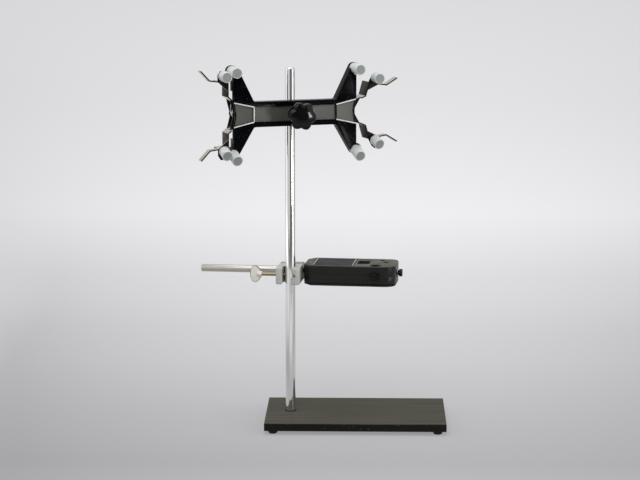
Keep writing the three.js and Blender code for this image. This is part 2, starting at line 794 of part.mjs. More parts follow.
function alongEndScrew(radius, to) {
  return solid(peg(radius, smallHole.x, to, 20).rotateY(Math.PI / 2).translate(0, smallHole.y, armScrewZ));
}

function armBody() {
  const low = armLow + coverThick + 0.2;
  const deep = low - 5;
  const wall = armScrewZ;
  let body = solid(prismZ(armOutline(0), low, armHigh, 0.9));
  // the room inside leaves posts round the holes, the stud, the thumb screws and the cover screws
  let room = solid(prismZ(armOutline(armWall), low - 2, armHigh - armWall));
  room = cut(room, ...armHoles(deep, armHigh, 2.4));
  room = cut(room, solid(block(10, 40, crossY - 7, crossY + 7, deep, armHigh)));
  room = cut(room, alongFrontScrew(4.6, 0, 10), alongEndScrew(4.4, armRight + 6));
  room = cut(room, ...coverPegs(3.6, deep, armHigh, 20));
  body = cut(body, room, ...armHoles(deep, armHigh + past, 0));
  const studHole = peg(studRadius + pressGap, 0, 33, 24).rotateY(Math.PI / 2).translate(0, crossY, crossZ);
  const thumbBore = thumbRadius + pressGap;
  body = cut(body, solid(studHole), alongFrontScrew(thumbBore, 0, 20), alongEndScrew(thumbBore, armRight + 11));
  body = cut(body, ...coverPegs(coverScrewRadius + pressGap, deep, low + 8, 16));
  // thin joint line round the wall
  const band = solid(prismZ(armOutline(-past), wall - grooveHalf, wall + grooveHalf));
  body = cut(body, cut(band, solid(prismZ(armOutline(grooveDeep), wall - past, wall + past))));
  const { x0, x1, y0, y1, sunk } = armPlate;
  const recess = block(x0 - seatGap, x1 + seatGap, y0 - seatGap, y1 + seatGap, armHigh - sunk, armHigh + past);
  return part('arm_body', cut(body, solid(recess)), 'blackPlastic');
}

function armPanel() {
  const { x0, x1, y0, y1, sunk, proud } = armPlate;
  return part('arm_blank_panel', block(x0, x1, y0, y1, armHigh - sunk, armHigh + proud), 'label');
}

function armCover() {
  const deep = armLow - past;
  const high = armLow + coverThick + past;
  let body = solid(prismZ(armOutline(0), armLow, armLow + coverThick, 0.7));
  body = cut(body, ...armHoles(deep, high, 0));
  body = cut(body, ...coverPegs(coverScrewRadius + 0.2, deep, high, 16));
  body = cut(body, ...coverPegs(coverHead.radius + seatGap, deep, armLow + coverHead.height + 0.2, 20));
  return part('arm_bottom_cover', body, 'blackPlastic');
}

function coverScrew(name, x, y) {
  const { radius, height } = coverHead;
  const low = armLow + 0.1;
  const seat = low + height + 0.1;
  const end = low + 9;
  const r = coverScrewRadius;
  const profile = [
    [0, low], [radius - 0.4, low], [radius, low + 0.4], [radius, seat], [r, seat], [r, end - 0.5], [0, end],
  ];
  return part(name, cut(solid(turned(profile, 20)), headSlot(radius, low)).translate([x, y, 0]), 'zinc');
}

function armStud() {
  const start = crossRight - crossBore + endGap;
  const g = peg(studRadius, start, 32.4, 24).rotateY(Math.PI / 2).translate(0, crossY, crossZ);
  return part('arm_stud', g, 'blackPaint');
}

// thumb screws stand along z with the tip at zero
function thumbScrew(tag, tip, direction, reach, knob) {
  const end = reach + 2.2;
  const shank = turned([[0, 0], [thumbRadius - 0.5, 0], [thumbRadius, 0.6], [thumbRadius, end], [0, end]], 20);
  const grip = [];
  for (let i = 0; i < thumbTeeth * 2; i += 1) {
    const a = (Math.PI * i) / thumbTeeth;
    const r = knob.radius - (i % 2) * 0.35;
    grip.push([r * Math.cos(a), r * Math.sin(a)]);
  }
  const head = join(
    solid(prismZ(grip, reach + 0.4, reach + knob.thick, 0.4)),
    solid(peg(thumbRadius + 1.2, reach - 1.2, reach + 1, 24)),
  );
  const body = cut(head, solid(peg(thumbRadius + pressGap, reach - 5, end + 0.2, 20)));
  const holder = new THREE.Group();
  holder.add(part(`${tag}_screw`, shank, 'zinc'), part(`${tag}_knob`, body, 'blackPlastic'));
  holder.quaternion.setFromUnitVectors(new THREE.Vector3(0, 0, 1), new THREE.Vector3(...direction));
  holder.position.set(...tip);
  return holder;
}

function bossAssembly() {
  const group = new THREE.Group();
  const frontTip = [probeHole.x, probeHole.y - probeHole.r + 1.5, armScrewZ];
  const endTip = [smallHole.x + smallHole.r - 0.4, smallHole.y, armScrewZ];
  const sideTip = [-bossLiner.outer - seatGap, 0, bossScrewZ];
  const backTip = [backScrew.x, crossY + crossRadius + seatGap, crossZ];
  const middle = (bossLow + bossHigh) / 2;
  group.add(
    ring('boss_rod_liner', rodRadius + linerGap, bossLiner.outer, bossLiner.height, middle, 'chrome'),
    bossHead(),
    wingScrew('boss_side', sideTip, [-1, 0, 0], 0, sideScrewLength),
    wingScrew('boss_back', backTip, [0, 1, 0], backScrew.roll, backScrew.length),
    crossRod(),
    armBody(),
    armCover(),
    armPanel(),
    armStud(),
    thumbScrew('arm_front', frontTip, [0, -1, 0], frontTip[1] - armFront + frontKnob.clear, frontKnob),
    thumbScrew('arm_end', endTip, [1, 0, 0], armRight - endTip[0] + endKnob.clear, endKnob),
  );
  coverSpots.forEach(([x, y], i) => group.add(coverScrew(`arm_cover_screw_${i + 1}`, x, y)));
  group.rotation.z = bossYaw * deg;
  return group;
}

const stand = new THREE.Group();
stand.add(basePlate(), uprightRod(), rodFootRing(), rodFixingScrew());
const corners = ['front_left', 'front_right', 'back_left', 'back_right'];
footSpots().forEach(([x, y], i) => {
  const pair = [foot(`foot_${corners[i]}`), footScrew(`foot_screw_${corners[i]}`)];
  pair.forEach((mesh) => mesh.position.set(x, y, 0));
  stand.add(...pair);
});
stand.add(buretteClamp(), bossAssembly());

// centre the outline over the origin
stand.updateMatrixWorld(true);
const bounds = new THREE.Box3().setFromObject(stand, true);
stand.position.set(-(bounds.min.x + bounds.max.x) / 2, -(bounds.min.y + bounds.max.y) / 2, -bounds.min.z);

const object = new THREE.Group();
object.add(stand);
object.updateMatrixWorld(true);

export default object;
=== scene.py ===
import math

import bmesh
import bpy
from mathutils import Matrix, Vector


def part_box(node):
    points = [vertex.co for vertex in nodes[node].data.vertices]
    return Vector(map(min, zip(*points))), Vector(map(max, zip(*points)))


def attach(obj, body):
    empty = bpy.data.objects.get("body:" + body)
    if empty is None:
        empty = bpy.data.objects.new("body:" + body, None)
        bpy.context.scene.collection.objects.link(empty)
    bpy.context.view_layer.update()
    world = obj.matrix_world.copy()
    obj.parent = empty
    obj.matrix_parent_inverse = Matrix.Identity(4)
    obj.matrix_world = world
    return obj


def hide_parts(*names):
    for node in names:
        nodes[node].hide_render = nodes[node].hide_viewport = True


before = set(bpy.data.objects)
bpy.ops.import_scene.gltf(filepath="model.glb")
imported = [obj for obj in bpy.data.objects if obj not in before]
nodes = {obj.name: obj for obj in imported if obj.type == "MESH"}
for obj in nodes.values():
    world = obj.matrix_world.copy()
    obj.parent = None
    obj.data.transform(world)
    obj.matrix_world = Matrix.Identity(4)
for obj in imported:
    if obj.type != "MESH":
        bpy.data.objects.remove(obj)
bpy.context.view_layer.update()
scene = bpy.context.scene
mm = 0.001
# vertices this near to each other merge or share a level, and flatter edges than this are dissolved
tolerance = {"apart": 0.002, "level": 0.001, "flatDegrees": 0.6}
print("frame loaded,", len(nodes), "nodes")


def boxMiddle(node):
    low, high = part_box(node)
    return (Vector(low) + Vector(high)) / 2


rodMiddle = boxMiddle("upright_rod")
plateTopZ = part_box("base_plate")[1][2]

# the clamp and the boss head are each turned a little about the upright
turns = {"clamp": 20.5, "boss": -6}
clampPlace = Matrix.Translation((rodMiddle.x, rodMiddle.y, boxMiddle("clamp_rod_liner").z))
clampPlace = clampPlace @ Matrix.Rotation(math.radians(turns["clamp"]), 4, "Z")
bossPlace = Matrix.Translation((rodMiddle.x, rodMiddle.y, plateTopZ))
bossPlace = bossPlace @ Matrix.Rotation(math.radians(turns["boss"]), 4, "Z")

# camera, at the photographed angle
shot = {"side": 101.4, "back": 2669.6, "height": 674.9, "tiltDown": 0.1627, "turn": 0.0239,
        "lens": 120.15, "sensor": 36, "seesTo": 60}
cameraData = bpy.data.cameras.new("shotCamera")
cameraData.lens = shot["lens"]
cameraData.sensor_width = shot["sensor"]
cameraData.clip_end = shot["seesTo"]
camera = bpy.data.objects.new("shotCamera", cameraData)
scene.collection.objects.link(camera)
camera.location = (rodMiddle.x + shot["side"] * mm,
                   rodMiddle.y - shot["back"] * mm,
                   shot["height"] * mm)
camera.rotation_euler = (math.pi / 2 - shot["tiltDown"], 0, shot["turn"])
scene.camera = camera
scene.view_settings.view_transform = "Standard"
print("camera placed")


# finishes: patches of two colours from one noise, a finer noise as grain
noiseUse = {"low": 0.3, "high": 0.7, "softDetail": 3, "fineDetail": 6, "speckDetail": 2}


def newFinish(name):
    mat = bpy.data.materials.new(name)
    mat.use_nodes = True
    tree = mat.node_tree
    shader = tree.nodes["Principled BSDF"]
    return mat, tree, shader


def objectNoise(tree, scale, detail, stretch=(1, 1, 1)):
    where = tree.nodes.new("ShaderNodeTexCoord")
    mapping = tree.nodes.new("ShaderNodeMapping")
    mapping.inputs["Scale"].default_value = stretch
    noise = tree.nodes.new("ShaderNodeTexNoise")
    noise.inputs["Scale"].default_value = scale
    noise.inputs["Detail"].default_value = detail
    tree.links.new(where.outputs["Object"], mapping.inputs["Vector"])
    tree.links.new(mapping.outputs["Vector"], noise.inputs["Vector"])
    return noise


def spread(tree, noise, low, high, socket):
    ranged = tree.nodes.new("ShaderNodeMapRange")
    ranged.inputs["From Min"].default_value = noiseUse["low"]
    ranged.inputs["From Max"].default_value = noiseUse["high"]
    ranged.inputs["To Min"].default_value = low
    ranged.inputs["To Max"].default_value = high
    tree.links.new(noise.outputs["Fac"], ranged.inputs["Value"])
    tree.links.new(ranged.outputs["Result"], socket)


def grain(tree, noise, strength, depth, shader):
    bump = tree.nodes.new("ShaderNodeBump")
    bump.inputs["Strength"].default_value = strength
    bump.inputs["Distance"].default_value = depth
    tree.links.new(noise.outputs["Fac"], bump.inputs["Height"])
    tree.links.new(bump.outputs["Normal"], shader.inputs["Normal"])


def blotch(tree, noise, dark, light, shader):
    mix = tree.nodes.new("ShaderNodeMix")
    mix.data_type = "RGBA"
    mix.inputs["A"].default_value = (*dark, 1)
    mix.inputs["B"].default_value = (*light, 1)
    tree.links.new(noise.outputs["Fac"], mix.inputs["Factor"])
    tree.links.new(mix.outputs["Result"], shader.inputs["Base Color"])
    return mix


# small light chips and dust, where a noise stands above a level
def speckle(tree, under, specks, shader):
    noise = objectNoise(tree, specks["scale"], noiseUse["speckDetail"])
    ranged = tree.nodes.new("ShaderNodeMapRange")
    ranged.inputs["From Min"].default_value = specks["above"]
    ranged.inputs["From Max"].default_value = specks["above"] + specks["fade"]
    mix = tree.nodes.new("ShaderNodeMix")
    mix.data_type = "RGBA"
    mix.inputs["B"].default_value = (*specks["colour"], 1)
    tree.links.new(noise.outputs["Fac"], ranged.inputs["Value"])
    tree.links.new(ranged.outputs["Result"], mix.inputs["Factor"])
    tree.links.new(under.outputs["Result"], mix.inputs["A"])
    tree.links.new(mix.outputs["Result"], shader.inputs["Base Color"])


def finishOf(name, look):
    mat, tree, shader = newFinish(name)
    shader.inputs["Metallic"].default_value = look.get("metal", 0)
    shader.inputs["Specular IOR Level"].default_value = look.get("sheenLevel", 0.5)
    if "coat" in look:
        shader.inputs["Coat Weight"].default_value = look["coat"]
        shader.inputs["Coat Roughness"].default_value = look["coatRough"]
    stretch = look.get("stretch", (1, 1, 1))
    soft = objectNoise(tree, look["patch"], noiseUse["softDetail"], stretch)
    colour = blotch(tree, soft, look["dark"], look["light"], shader)
    if "specks" in look:
        speckle(tree, colour, look["specks"], shader)
    low, high = look["rough"]
    spread(tree, soft, low, high, shader.inputs["Roughness"])
    if "grain" in look:
        scale, strength, depth = look["grain"]
        fine = objectNoise(tree, scale, noiseUse["fineDetail"], stretch)
        grain(tree, fine, strength, depth, shader)
    return mat


# patch is the scale of the noise between dark and light, grain a finer scale with strength and depth
looks = {
    # the plate's top and sides are lit and shaded copies of one enamel: painted light on the top, painted
    # shade on the sides
    "plateEnamelLitTop": {"dark": (0.008, 0.0075, 0), "light": (0.16, 0.154, 0.118), "rough": (0.46, 0.58),
                    "patch": 260, "sheenLevel": 0.035, "stretch": (0.04, 1, 1),
                    "grain": (700, 0.2, 0.0002),
                    "specks": {"scale": 260, "above": 0.7, "fade": 0.05, "colour": (0.12, 0.115, 0.09)}},
    "plateSideShade": {"dark": (0.005, 0.005, 0.004), "light": (0.011, 0.011, 0.009), "rough": (0.34, 0.46),
                  "patch": 60, "sheenLevel": 0.15, "stretch": (0.1, 1, 1), "grain": (500, 0.15, 0.0002),
                  "specks": {"scale": 330, "above": 0.69, "fade": 0.04, "colour": (0.12, 0.12, 0.11)}},
    "chromeRod": {"dark": (0.8, 0.8, 0.78), "light": (0.88, 0.88, 0.86), "metal": 1, "rough": (0.08, 0.1),
                  "patch": 60, "stretch": (1, 1, 0.01)},
    "satinRod": {"dark": (0.53, 0.51, 0.455), "light": (0.62, 0.6, 0.535), "metal": 1,
                 "rough": (0.33, 0.36), "patch": 30, "stretch": (0.01, 1, 1)},
    "zincScrew": {"dark": (0.42, 0.42, 0.4), "light": (0.6, 0.6, 0.57), "metal": 1, "rough": (0.25, 0.42),
                  "patch": 300},
    "blackEnamel": {"dark": (0.0016, 0.0016, 0.0022), "light": (0.0035, 0.0035, 0.0045),
                    "rough": (0.12, 0.24), "patch": 50, "sheenLevel": 0.03, "grain": (260, 0.25, 0.0003),
                    "specks": {"scale": 300, "above": 0.62, "fade": 0.1, "colour": (0.022, 0.026, 0.034)}},
    "panelEnamel": {"dark": (0.095, 0.095, 0.083), "light": (0.125, 0.125, 0.111), "metal": 0.3,
                    "rough": (0.36, 0.44), "patch": 22, "sheenLevel": 0.3, "grain": (200, 0.08, 0.0002)},
    # light grey for the clamp casting's bevelled edges, a painted highlight
    "edgeHighlight": {"dark": (0.12, 0.12, 0.115), "light": (0.42, 0.42, 0.4), "rough": (0.25, 0.4),
                 "patch": 90},
    # near white for the raised rims round the fork heads, a painted highlight
    "rimHighlight": {"dark": (0.8, 0.8, 0.8), "light": (0.95, 0.95, 0.95), "rough": (0.2, 0.3), "patch": 80},
    "knobGloss": {"dark": (0.0012, 0.0012, 0.0012), "light": (0.003, 0.003, 0.0025),
                  "rough": (0.06, 0.12), "patch": 60, "sheenLevel": 0.2, "coat": 0.1, "coatRough": 0.05,
                  "grain": (420, 0.03, 0.0002)},
    "smallKnobs": {"dark": (0.002, 0.002, 0.002), "light": (0.005, 0.005, 0.004), "rough": (0.2, 0.3),
                   "patch": 80, "sheenLevel": 0.2, "grain": (600, 0.06, 0.0002)},
    "nickelStrip": {"dark": (0.5, 0.47, 0.38), "light": (0.68, 0.64, 0.54), "metal": 0.9,
                    "rough": (0.2, 0.3), "patch": 70, "grain": (500, 0.06, 0.0002)},
    "nickelShade": {"dark": (0.007, 0.0058, 0.003), "light": (0.018, 0.0155, 0.0088),
                    "rough": (0.3, 0.42), "patch": 70, "sheenLevel": 0.05, "grain": (500, 0.06, 0.0002)},
    "greyVinyl": {"dark": (0.66, 0.69, 0.68), "light": (0.78, 0.81, 0.8), "rough": (0.42, 0.58),
                  "patch": 120, "grain": (1500, 0.08, 0.0002)},
    # a darker copy of the grey vinyl for the sleeves' end faces, as painted shade
    "vinylEndShade": {"dark": (0.29, 0.312, 0.295), "light": (0.352, 0.378, 0.36), "rough": (0.5, 0.65),
                 "patch": 160, "grain": (1500, 0.08, 0.0002)},
    "castGrey": {"dark": (0.52, 0.54, 0.5), "light": (0.67, 0.69, 0.64), "metal": 0.2,
                 "rough": (0.42, 0.6), "patch": 160, "grain": (700, 0.35, 0.0004)},
    "platedBrass": {"dark": (0.88, 0.84, 0.76), "light": (0.99, 0.97, 0.92), "rough": (0.24, 0.36),
                    "patch": 130, "grain": (600, 0.1, 0.0003)},
    # a darker copy of the brass for the wings' rounded rims, as painted shade
    "brassRimShade": {"dark": (0.2, 0.16, 0.09), "light": (0.4, 0.34, 0.23), "metal": 0.4,
                 "rough": (0.28, 0.4), "patch": 160, "grain": (600, 0.1, 0.0003)},
    "castShade": {"dark": (0.035, 0.035, 0.028), "light": (0.075, 0.075, 0.065), "rough": (0.5, 0.7),
                  "patch": 160, "sheenLevel": 0.2, "grain": (700, 0.35, 0.0004)},
    "brassShank": {"dark": (0.22, 0.18, 0.1), "light": (0.42, 0.35, 0.23), "metal": 0.9,
                   "rough": (0.28, 0.4), "patch": 160, "grain": (600, 0.15, 0.0003)},
    "blackMoulding": {"dark": (0.006, 0.006, 0.0045), "light": (0.012, 0.012, 0.009),
                      "rough": (0.34, 0.48), "patch": 40, "sheenLevel": 0.3, "stretch": (0.25, 1, 4),
                      "grain": (900, 0.1, 0.0002)},
    # a lighter copy of the black moulding for upward faces, as painted light from above
    "mouldingTopLit": {"dark": (0.062, 0.058, 0.042), "light": (0.09, 0.086, 0.066), "rough": (0.4, 0.52),
                    "patch": 60, "sheenLevel": 0.15, "grain": (1200, 0.15, 0.0002)},
    "blackRubber": {"dark": (0.004, 0.004, 0.004), "light": (0.01, 0.01, 0.01), "rough": (0.7, 0.9),
                    "patch": 200, "grain": (1800, 0.2, 0.0002)},
    "blankPanel": {"dark": (0.006, 0.0065, 0.0045), "light": (0.011, 0.011, 0.008), "rough": (0.36, 0.48),
                   "patch": 40, "sheenLevel": 0.05},
    "panelInk": {"dark": (0.62, 0.62, 0.54), "light": (0.75, 0.75, 0.66), "rough": (0.4, 0.5),
                 "patch": 90},
}
finish = {name: finishOf(name, look) for name, look in looks.items()}
print("finishes mixed,", len(finish))


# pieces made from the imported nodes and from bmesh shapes
def mergedCopy(node):
    bm = bmesh.new()
    bm.from_mesh(nodes[node].data)
    bmesh.ops.remove_doubles(bm, verts=bm.verts, dist=tolerance["apart"] * mm)
    bmesh.ops.dissolve_limit(bm, angle_limit=math.radians(tolerance["flatDegrees"]), verts=bm.verts,
                             edges=bm.edges)
    return bm


def place(bm, matrix):
    bmesh.ops.transform(bm, matrix=matrix, verts=bm.verts)


def addPiece(name, bm, mats, body, hides=(), smooth=30, softEdge=0, rings=3, edgeMat=-1):
    mesh = bpy.data.meshes.new(name)
    bm.to_mesh(mesh)
    bm.free()
    for mat in mats:
        mesh.materials.append(mat)
    piece = bpy.data.objects.new(name, mesh)
    scene.collection.objects.link(piece)
    for face in mesh.polygons:
        face.use_smooth = True
    if softEdge:
        soften = piece.modifiers.new("soften", "BEVEL")
        soften.width = softEdge * mm
        soften.segments = rings
        soften.limit_method = "ANGLE"
        soften.angle_limit = math.radians(smooth)
        soften.harden_normals = True
        soften.material = edgeMat
    else:
        mesh.set_sharp_from_angle(angle=math.radians(smooth))
    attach(piece, body)
    if hides:
        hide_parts(*hides)


def addCone(bm, low, radiusLow, radiusHigh, height, sides):
    cone = bmesh.ops.create_cone(bm, cap_ends=True, segments=sides, radius1=radiusLow * mm,
                                 radius2=radiusHigh * mm, depth=height * mm)
    bmesh.ops.translate(bm, verts=cone["verts"], vec=(0, 0, (low + height / 2) * mm))


def roundBar(radius, length, sides):
    bm = bmesh.new()
    addCone(bm, 0, radius, radius, length, sides)
    return bm


def rimEdges(bm, z):
    return [e for e in bm.edges if all(abs(v.co.z - z * mm) < tolerance["level"] * mm for v in e.verts)]


def bevelRim(bm, z, offset, rings):
    bmesh.ops.bevel(bm, geom=rimEdges(bm, z), offset=offset * mm, segments=rings, profile=0.5,
                    affect="EDGES", material=-1)


def pointAlong(direction):
    return Vector((0, 0, 1)).rotation_difference(Vector(direction)).to_matrix().to_4x4()


def moveBy(x, y, z):
    return Matrix.Translation((x * mm, y * mm, z * mm))


def onlyVerts(grown):
    return [g for g in grown["geom"] if isinstance(g, bmesh.types.BMVert)]


# nodes that stay as packed get only a finish
dressed = {
    "rod_foot_ring": "blackRubber", "rod_fixing_screw": "zincScrew", "clamp_rod_liner": "blackMoulding",
    "clamp_screw": "zincScrew", "boss_rod_liner": "chromeRod", "boss_side_screw": "brassShank",
    "boss_back_screw": "brassShank", "arm_stud": "blackRubber", "arm_blank_panel": "blankPanel",
    "arm_front_screw": "zincScrew", "arm_end_screw": "zincScrew", "arm_cover_screw_1": "zincScrew",
    "arm_cover_screw_2": "zincScrew", "pivot_pin_left": "zincScrew", "pivot_pin_right": "zincScrew",
    "pivot_clip_left": "zincScrew", "pivot_clip_right": "zincScrew",
}
corners = ("front_left", "front_right", "back_left", "back_right")
quarters = ("upper_left", "upper_right", "lower_left", "lower_right")
for corner in corners:
    dressed["foot_screw_" + corner] = "zincScrew"
for quarter in quarters:
    dressed["fixed_prong_" + quarter] = "nickelStrip"
    dressed["jaw_prong_" + quarter] = "nickelStrip"
for node, mat in dressed.items():
    data = nodes[node].data
    data.materials.clear()
    data.materials.append(finish[mat])

# base
basePlate = {"sharpFrom": 20, "topFacing": 0.5}
bm = mergedCopy("base_plate")
# upward faces take the lighter enamel as painted light, the side faces a near black copy as painted shade
for face in bm.faces:
    face.material_index = 0 if face.normal.z > basePlate["topFacing"] else 1
addPiece("basePlatePainted", bm, [finish["plateEnamelLitTop"], finish["plateSideShade"]], "stand",
         ["base_plate"], smooth=basePlate["sharpFrom"])

# a foot's half section, as radius and height, with a hollow for its screw
foot = {"outline": ((2.95, 0), (3.9, 0), (4.7, 0.35), (5.4, 1.1), (5.95, 2.3), (6.25, 3.8), (6.25, 5),
                    (1.6, 5), (1.6, 2.6), (2.95, 2.6)),
        "steps": 40, "sharpFrom": 40}
for corner in corners:
    bm = bmesh.new()
    ring = [bm.verts.new((r * mm, 0, z * mm)) for r, z in foot["outline"]]
    edges = [bm.edges.new((ring[i], ring[(i + 1) % len(ring)])) for i in range(len(ring))]
    bmesh.ops.spin(bm, geom=ring + edges, cent=(0, 0, 0), axis=(0, 0, 1), dvec=(0, 0, 0),
                   angle=2 * math.pi, steps=foot["steps"], use_merge=True)
    bmesh.ops.remove_doubles(bm, verts=bm.verts, dist=tolerance["apart"] * mm)
    bmesh.ops.recalc_face_normals(bm, faces=bm.faces)
    middle = boxMiddle("foot_" + corner)
    place(bm, Matrix.Translation((middle.x, middle.y, 0)))
    addPiece("rubberFoot_" + corner, bm, [finish["blackRubber"]], "stand",
             ["foot_" + corner], smooth=foot["sharpFrom"])
print("base dressed")

# upright and cross rod
upright = {"radius": 6.35, "round": 2, "rings": 4, "sides": 96}
tall = (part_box("upright_rod")[1][2] - plateTopZ) / mm
bm = roundBar(upright["radius"], tall, upright["sides"])
bevelRim(bm, tall, upright["round"], upright["rings"])
place(bm, Matrix.Translation((rodMiddle.x, rodMiddle.y, plateTopZ)))
addPiece("uprightBar", bm, [finish["chromeRod"]], "stand", ["upright_rod"])

crossRod = {"radius": 4.76, "from": -119.7, "to": 12.7, "y": 28, "z": 178.3, "chamfer": 0.9,
            "armChamfer": 0.6, "rings": 2, "sides": 64}
length = crossRod["to"] - crossRod["from"]
bm = roundBar(crossRod["radius"], length, crossRod["sides"])
bevelRim(bm, 0, crossRod["chamfer"], crossRod["rings"])
bevelRim(bm, length, crossRod["armChamfer"], crossRod["rings"])
place(bm, bossPlace @ moveBy(crossRod["from"], crossRod["y"], crossRod["z"]) @ pointAlong((1, 0, 0)))
addPiece("crossBar", bm, [finish["satinRod"]], "cross_bar", ["cross_rod"])
print("rods turned")

# burette clamp casting
casting = {"edge": 0.45, "webFront": -19.8, "within": 0.1, "facing": 0.99}
bm = mergedCopy("clamp_casting")
toClamp = clampPlace.inverted()
frontward = (clampPlace.to_3x3() @ Vector((0, -1, 0))).normalized()
for face in bm.faces:
    offWeb = abs((toClamp @ face.calc_center_median()).y - casting["webFront"] * mm)
    if face.normal.dot(frontward) > casting["facing"] and offWeb < casting["within"] * mm:
        face.material_index = 1
# the bevel faces take the third finish, a light grey painted highlight along the casting's edges
addPiece("clampForks", bm, [finish["blackEnamel"], finish["panelEnamel"], finish["edgeHighlight"]], "clamp",
         ["clamp_casting"], softEdge=casting["edge"], edgeMat=2)

# raised line round the sunk panel of each fork head, open at the outer end; its near white colour is a
# painted highlight
headRim = {"in": 53.9, "out": 80, "inZ": 9.3, "outZ": 15.2, "face": -22, "wide": 1.5, "deep": 1.2,
           "proud": 0.2, "round": 0.25, "rings": 2}


def rimBar(name, start, end):
    run = Vector(end) - Vector(start)
    bm = bmesh.new()
    bmesh.ops.create_cube(bm, size=1)
    bmesh.ops.scale(bm, verts=bm.verts, vec=(run.length, headRim["deep"], headRim["wide"]))
    bmesh.ops.bevel(bm, geom=list(bm.edges), offset=headRim["round"], segments=headRim["rings"],
                    profile=0.5, affect="EDGES", material=-1)
    middle = (Vector(start) + Vector(end)) / 2
    y = headRim["face"] - headRim["proud"] + headRim["deep"] / 2
    turned = Matrix.Rotation(-math.atan2(run.z, run.x), 4, "Y")
    place(bm, clampPlace @ Matrix.Scale(mm, 4) @ Matrix.Translation((middle.x, y, middle.z)) @ turned)
    addPiece(name, bm, [finish["rimHighlight"]], "clamp")


for side, tag in ((-1, "left"), (1, "right")):
    inX = side * headRim["in"]
    outX = side * headRim["out"]
    rimBar("headRim_" + tag + "_up", (inX, 0, headRim["inZ"]), (outX, 0, headRim["outZ"]))
    rimBar("headRim_" + tag + "_down", (inX, 0, -headRim["inZ"]), (outX, 0, -headRim["outZ"]))
rimBar("headRim_left_inner", (-headRim["in"], 0, -headRim["inZ"]), (-headRim["in"], 0, headRim["inZ"]))
print("clamp casting finished")

# star knob: six shallow lobes with well rounded edges, a domed front and a hub behind
star = {"front": -54, "back": -41.5, "hubBack": -30, "hubNarrow": 8.2, "hubWide": 9.2, "hubSunk": 2,
        "hubSides": 48, "tip": 18, "valley": 14.8, "lobes": 6, "lobeFullness": 0.7, "lobeFade": 3,
        "turn": -0.12, "z": -1.2, "around": 120, "across": 48, "squareness": 3.4, "sharpFrom": 40}
bm = bmesh.new()
bmesh.ops.create_uvsphere(bm, u_segments=star["around"], v_segments=star["across"], radius=1)
halfThick = (star["back"] - star["front"]) / 2
for v in bm.verts:
    flat = math.hypot(v.co.x, v.co.y)
    angle = math.atan2(v.co.y, v.co.x)
    out = min(flat, 1) ** (2 / star["squareness"])
    wave = (0.5 + 0.5 * math.cos(star["lobes"] * angle)) ** star["lobeFullness"]
    reach = star["valley"] + (star["tip"] - star["valley"]) * wave * out ** star["lobeFade"]
    high = math.copysign(min(abs(v.co.z), 1) ** (2 / star["squareness"]), v.co.z)
    across = Vector((math.cos(angle + star["turn"]), math.sin(angle + star["turn"]), 0)) * reach * out
    v.co = (across + Vector((0, 0, halfThick + high * halfThick))) * mm
# the hub starts inside the lobed head
hubLength = star["hubBack"] - star["back"] + star["hubSunk"]
addCone(bm, star["hubSunk"] - hubLength, star["hubNarrow"], star["hubWide"], hubLength, star["hubSides"])
# the shape stands along z with its front up: turn it to face the front of the clamp
place(bm, clampPlace @ moveBy(0, star["back"], star["z"]) @ Matrix.Rotation(math.pi / 2, 4, "X"))
addPiece("starKnob", bm, [finish["knobGloss"]], "clamp_handle", ["clamp_knob"],
         smooth=star["sharpFrom"])
print("knob turned")

# sleeves on the prongs: the fixed ones on the casting, the others on the sprung jaws
jaws = {"prongX": 80.4, "upZ": 53.2, "lowZ": 55.2, "frontY": -38, "rootY": -14, "upTilt": 1.5,
        "lowTilt": 18, "pivotX": 75, "jawX": 93.4, "jawZ": 48.35, "open": 16}
sleeve = {"radius": 6.7, "sides": 48, "frontRound": 0.9, "frontRings": 4, "backRound": 0.4,
          "backRings": 2, "lip": 0.15, "sunk": 0.12, "rootGap": 0.3, "upLength": 15.8, "lowLength": 14.8}
strip = {"sideFacing": 0.6, "edge": 0.25, "rings": 2}


def sleevePiece(name, front, direction, length, matrix, body, node):
    bm = roundBar(sleeve["radius"], length, sleeve["sides"])
    bevelRim(bm, length, sleeve["frontRound"], sleeve["frontRings"])
    bevelRim(bm, 0, sleeve["backRound"], sleeve["backRings"])
    cap = max(bm.faces, key=lambda f: f.calc_center_median().z)
    bmesh.ops.inset_region(bm, faces=[cap], thickness=sleeve["lip"] * mm, depth=-sleeve["sunk"] * mm)
    # the end face takes the darker vinyl as painted shade
    cap.material_index = 1
    start = Vector(front) - Vector(direction) * length
    place(bm, matrix @ Matrix.Translation(start * mm) @ pointAlong(direction))
    addPiece(name, bm, [finish["greyVinyl"], finish["vinylEndShade"]], body, [node])


def jawPlace(side, up):
    angle = up * math.radians(jaws["open"]) if side > 0 else 0
    return clampPlace @ moveBy(side * jaws["pivotX"], 0, 0) @ Matrix.Rotation(angle, 4, "Y")


for quarter in quarters:
    side = 1 if quarter.endswith("right") else -1
    up = 1 if quarter.startswith("upper") else -1
    tilt = math.radians(jaws["upTilt"] if up > 0 else jaws["lowTilt"])
    direction = (0, -math.cos(tilt), -math.sin(tilt))
    frontZ = jaws["upZ"] if up > 0 else -jaws["lowZ"]
    front = (side * jaws["prongX"], jaws["frontY"], frontZ)
    length = (jaws["rootY"] - jaws["frontY"]) / math.cos(tilt) - sleeve["rootGap"]
    sleevePiece("stillSleeve_" + quarter, front, direction, length, clampPlace, "clamp",
                "fixed_sleeve_" + quarter)
    front = (side * (jaws["jawX"] - jaws["pivotX"]), jaws["frontY"], up * jaws["jawZ"])
    length = sleeve["upLength"] if up > 0 else sleeve["lowLength"]
    sleevePiece("jawSleeve_" + quarter, front, direction, length, jawPlace(side, up), "jaw_" + quarter,
                "jaw_sleeve_" + quarter)
    bm = mergedCopy("jaw_lever_" + quarter)
    for face in bm.faces:
        face.material_index = 1 if abs(face.normal.z) < strip["sideFacing"] else 0
    addPiece("jawStrip_" + quarter, bm, [finish["nickelStrip"], finish["nickelShade"]], "jaw_" + quarter,
             ["jaw_lever_" + quarter], softEdge=strip["edge"], rings=strip["rings"])
print("jaws dressed")

